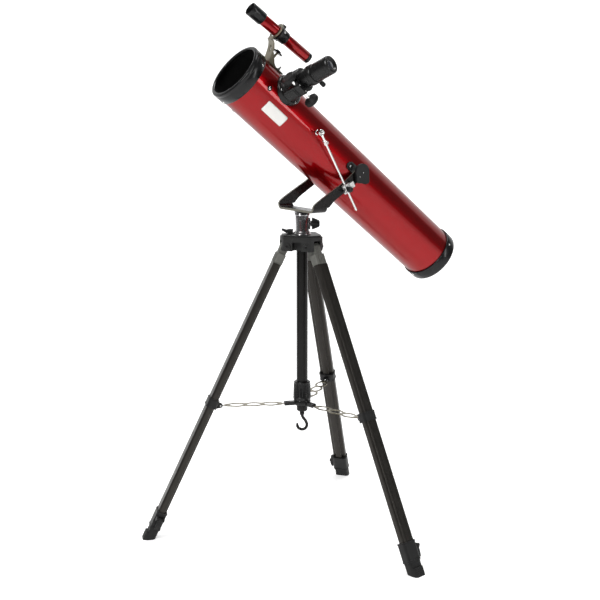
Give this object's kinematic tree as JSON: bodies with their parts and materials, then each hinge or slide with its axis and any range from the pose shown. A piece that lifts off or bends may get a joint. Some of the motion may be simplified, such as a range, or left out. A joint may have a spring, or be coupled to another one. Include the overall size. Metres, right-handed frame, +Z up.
{
  "type": "telescope on tripod",
  "caption": "Small red Newtonian telescope with a finder, rack focuser and fork mount with an altitude rod, on a folding aluminium tripod with telescoping legs.",
  "frame": {"origin": "on the floor, under the middle of the object's box", "axes": "+Z up; +Y along the altitude axis, away from the side with the focuser and the altitude rod; the open end of the tube points to -X and up"},
  "size_m": [0.725, 0.5777, 1.1054],
  "materials": {
    "red_lacquer": "glossy metallic candy-red lacquer over thin steel",
    "black_gloss": "moulded black plastic with a soft gloss",
    "black_satin": "satin charcoal plastic",
    "black_enamel": "black enamelled steel",
    "column_enamel": "black anodised aluminium tube",
    "bronze_anodised": "dark bronze anodised aluminium extrusion",
    "grey_casting": "grey ribbed moulding",
    "black_rubber": "black rubber",
    "olive_steel": "olive-grey passivated steel stamping",
    "machined_steel": "machined steel",
    "chrome_plate": "polished chrome plate",
    "gunmetal": "glossy gunmetal plate",
    "mirror_coating": "aluminised mirror glass"
  },
  "bodies": {
    "stand": {"hub_casting": "black_satin", "guide_tube": "column_enamel"},
    "hook": {"weight_hook": "black_enamel"},
    "column_lock": {"column_lock_screw": "black_satin"},
    "spreader": {"brace_hub": "black_gloss"},
    "spreader_sleeve": {"spreader_lock_sleeve": "black_gloss"},
    "column": {"centre_column": "gunmetal"},
    "azimuth_lock": {"azimuth_lock_screw": "black_satin"},
    "yoke": {"yoke": "black_enamel"},
    "tube": {"optical_tube": "red_lacquer", "front_ring": "black_gloss", "rear_cell": "black_gloss", "primary_mirror": "mirror_coating", "spider": "black_enamel", "secondary_mirror": "mirror_coating", "focuser_housing": "black_gloss", "altitude_flange_near": "black_gloss", "altitude_flange_far": "black_gloss", "rod_anchor": "chrome_plate", "finder_bracket": "olive_steel"},
    "drawtube": {"focuser_drawtube": "black_gloss"},
    "pinion": {"pinion_shaft": "chrome_plate", "focus_knob_front": "black_gloss", "focus_knob_rear": "black_gloss"},
    "eyepiece": {"eyepiece": "black_gloss"},
    "eyepiece_screw": {"eyepiece_screw": "black_gloss"},
    "thumb_nut": {"finder_thumb_nut": "black_gloss"},
    "finder": {"finder_collar": "black_gloss", "finder_tube": "red_lacquer", "finder_objective_cell": "black_gloss"},
    "finder_eyepiece": {"finder_eyepiece": "black_gloss"},
    "knob_near": {"altitude_knob_near": "black_satin"},
    "knob_far": {"altitude_knob_far": "black_satin"},
    "rod": {"altitude_rod": "chrome_plate"},
    "rod_clamp": {"rod_clamp": "machined_steel"},
    "clamp_screw": {"rod_clamp_screw": "black_satin"},
    "strut_left": {"strut_left": "olive_steel"},
    "leg_left": {"upper_leg_left": "bronze_anodised", "leg_top_left": "grey_casting", "leg_clamp_left": "black_satin", "lock_collar_left": "black_satin"},
    "lever_left": {"lock_lever_left": "black_satin"},
    "lower_leg_left": {"lower_leg_left": "bronze_anodised", "foot_left": "black_rubber"},
    "strut_right": {"strut_right": "olive_steel"},
    "leg_right": {"upper_leg_right": "bronze_anodised", "leg_top_right": "grey_casting", "leg_clamp_right": "black_satin", "lock_collar_right": "black_satin"},
    "lever_right": {"lock_lever_right": "black_satin"},
    "lower_leg_right": {"lower_leg_right": "bronze_anodised", "foot_right": "black_rubber"},
    "strut_back": {"strut_back": "olive_steel"},
    "leg_back": {"upper_leg_back": "bronze_anodised", "leg_top_back": "grey_casting", "leg_clamp_back": "black_satin", "lock_collar_back": "black_satin"},
    "lever_back": {"lock_lever_back": "black_satin"},
    "lower_leg_back": {"lower_leg_back": "bronze_anodised", "foot_back": "black_rubber"}
  },
  "joints": [
    {"name": "spreader_slide", "type": "slide", "parent": "stand", "child": "spreader", "axis": [0, 0, 1], "range_m": [0, 0.119]},
    {"name": "strut_hinge_left", "type": "hinge", "parent": "spreader", "child": "strut_left", "pos_m": [-0.06316, 0.07094, 0.28], "axis": [-0.3571, -0.9341, 0], "range_deg": [0, 85]},
    {"name": "leg_hinge_left", "type": "hinge", "parent": "strut_left", "child": "leg_left", "pos_m": [-0.19767, 0.12236, 0.284], "axis": [-0.3571, -0.9341, 0], "range_deg": [-65, 0]},
    {"name": "leg_extension_left", "type": "slide", "parent": "leg_left", "child": "lower_leg_left", "axis": [-0.4029, 0.154, -0.9022], "range_m": [0, 0.27]},
    {"name": "lock_lever_hinge_left", "type": "hinge", "parent": "leg_left", "child": "lever_left", "pos_m": [-0.3314, 0.14939, 0.04691], "axis": [-0.8427, 0.3221, 0.4313], "range_deg": [0, 90]},
    {"name": "strut_hinge_right", "type": "hinge", "parent": "spreader", "child": "strut_right", "pos_m": [-0.02603, 0.02523, 0.28], "axis": [0.9875, 0.1578, 0], "range_deg": [0, 85]},
    {"name": "leg_hinge_right", "type": "hinge", "parent": "strut_right", "child": "leg_right", "pos_m": [-0.00331, -0.11697, 0.284], "axis": [0.9875, 0.1578, 0], "range_deg": [-65, 0]},
    {"name": "leg_extension_right", "type": "slide", "parent": "leg_right", "child": "lower_leg_right", "axis": [0.0681, -0.4259, -0.9022], "range_m": [0, 0.27]},
    {"name": "lock_lever_hinge_right", "type": "hinge", "parent": "leg_right", "child": "lever_right", "pos_m": [0.04015, -0.2463, 0.04691], "axis": [0.1424, -0.8909, 0.4313], "range_deg": [0, 90]},
    {"name": "strut_hinge_back", "type": "hinge", "parent": "spreader", "child": "strut_back", "pos_m": [-0.00501, 0.08023, 0.28], "axis": [-0.6304, 0.7763, 0], "range_deg": [0, 85]},
    {"name": "leg_hinge_back", "type": "hinge", "parent": "strut_back", "child": "leg_back", "pos_m": [0.10677, 0.17101, 0.284], "axis": [-0.6304, 0.7763, 0], "range_deg": [-65, 0]},
    {"name": "leg_extension_back", "type": "slide", "parent": "leg_back", "child": "lower_leg_back", "axis": [0.3348, 0.2719, -0.9022], "range_m": [0, 0.27]},
    {"name": "lock_lever_hinge_back", "type": "hinge", "parent": "leg_back", "child": "lever_back", "pos_m": [0.19705, 0.27331, 0.04691], "axis": [0.7003, 0.5687, 0.4313], "range_deg": [0, 90]},
    {"name": "spreader_sleeve_turn", "type": "hinge", "parent": "spreader", "child": "spreader_sleeve", "pos_m": [-0.0314, 0.0588, 0.28], "axis": [0, 0, 1], "range_deg": [0, 90]},
    {"name": "hook_swivel", "type": "hinge", "parent": "stand", "child": "hook", "pos_m": [-0.0314, 0.0588, 0.261], "axis": [0, 0, 1], "continuous": true},
    {"name": "column_slide", "type": "slide", "parent": "stand", "child": "column", "axis": [0, 0, 1], "range_m": [0, 0.2]},
    {"name": "column_lock_turn", "type": "hinge", "parent": "stand", "child": "column_lock", "pos_m": [-0.05429, 0.08015, 0.6505], "axis": [-0.6872, 0.6409, 0.342], "continuous": true},
    {"name": "azimuth_turn", "type": "hinge", "parent": "column", "child": "yoke", "pos_m": [-0.0314, 0.0588, 0.646], "axis": [0, 0, 1], "continuous": true},
    {"name": "azimuth_lock_turn", "type": "hinge", "parent": "column", "child": "azimuth_lock", "pos_m": [-0.01717, 0.0495, 0.668], "axis": [0.8371, -0.5471, 0], "continuous": true},
    {"name": "altitude_tilt", "type": "hinge", "parent": "yoke", "child": "tube", "pos_m": [0.068, 0.0588, 0.7728], "axis": [0, 1, 0], "range_deg": [-38, 31]},
    {"name": "altitude_knob_near_turn", "type": "hinge", "parent": "tube", "child": "knob_near", "pos_m": [0.068, 0.0588, 0.7728], "axis": [0, -1, 0], "continuous": true},
    {"name": "altitude_knob_far_turn", "type": "hinge", "parent": "tube", "child": "knob_far", "pos_m": [0.068, 0.0588, 0.7728], "axis": [0, 1, 0], "continuous": true},
    {"name": "rod_swing", "type": "hinge", "parent": "tube", "child": "rod", "pos_m": [-0.0345, -0.0142, 0.8578], "axis": [0, 1, 0], "range_deg": [-1, 1]},
    {"name": "rod_clamp_slide", "type": "slide", "parent": "rod", "child": "rod_clamp", "axis": [0.4887, 0, -0.8724], "range_m": [-0.028, 0.023]},
    {"name": "rod_clamp_screw_turn", "type": "hinge", "parent": "rod_clamp", "child": "clamp_screw", "pos_m": [0.0305, -0.0195, 0.74177], "axis": [0, -1, 0], "continuous": true},
    {"name": "focus_slide", "type": "slide", "parent": "tube", "child": "drawtube", "axis": [0.3165, -0.8599, 0.4006], "range_m": [-0.01, 0.03]},
    {"name": "pinion_turn", "type": "hinge", "parent": "tube", "child": "pinion", "pos_m": [-0.09853, -0.03498, 0.94271], "axis": [-0.7847, 0, 0.6199], "range_deg": [-345, 116]},
    {"name": "eyepiece_slide", "type": "slide", "parent": "drawtube", "child": "eyepiece", "axis": [0.3165, -0.8599, 0.4006], "range_m": [0, 0.025]},
    {"name": "eyepiece_screw_turn", "type": "hinge", "parent": "drawtube", "child": "eyepiece_screw", "pos_m": [-0.07715, -0.04997, 0.96978], "axis": [0.7847, 0, -0.6199], "continuous": true},
    {"name": "finder_thumb_nut_turn", "type": "hinge", "parent": "tube", "child": "thumb_nut", "pos_m": [-0.10439, 0.03805, 1.01273], "axis": [0.6007, -0.247, 0.7604], "continuous": true},
    {"name": "finder_aim", "type": "hinge", "parent": "tube", "child": "finder", "pos_m": [-0.10295, 0.03049, 1.04938], "axis": [0.1531, 0.969, 0.1938], "range_deg": [-3, 3]},
    {"name": "finder_focus", "type": "slide", "parent": "finder", "child": "finder_eyepiece", "axis": [0.8237, -0.0168, -0.5668], "range_m": [0, 0.012]}
  ],
  "couplings": [
    {"joint": "strut_hinge_left", "follows": "spreader_slide", "rad_per_m": 12.422},
    {"joint": "leg_hinge_left", "follows": "spreader_slide", "rad_per_m": -9.4231},
    {"joint": "strut_hinge_right", "follows": "spreader_slide", "rad_per_m": 12.422},
    {"joint": "leg_hinge_right", "follows": "spreader_slide", "rad_per_m": -9.4231},
    {"joint": "strut_hinge_back", "follows": "spreader_slide", "rad_per_m": 12.422},
    {"joint": "leg_hinge_back", "follows": "spreader_slide", "rad_per_m": -9.4231},
    {"joint": "rod_clamp_slide", "follows": "altitude_tilt", "m_per_rad": 0.0393},
    {"joint": "pinion_turn", "follows": "focus_slide", "rad_per_m": -200}
  ]
}
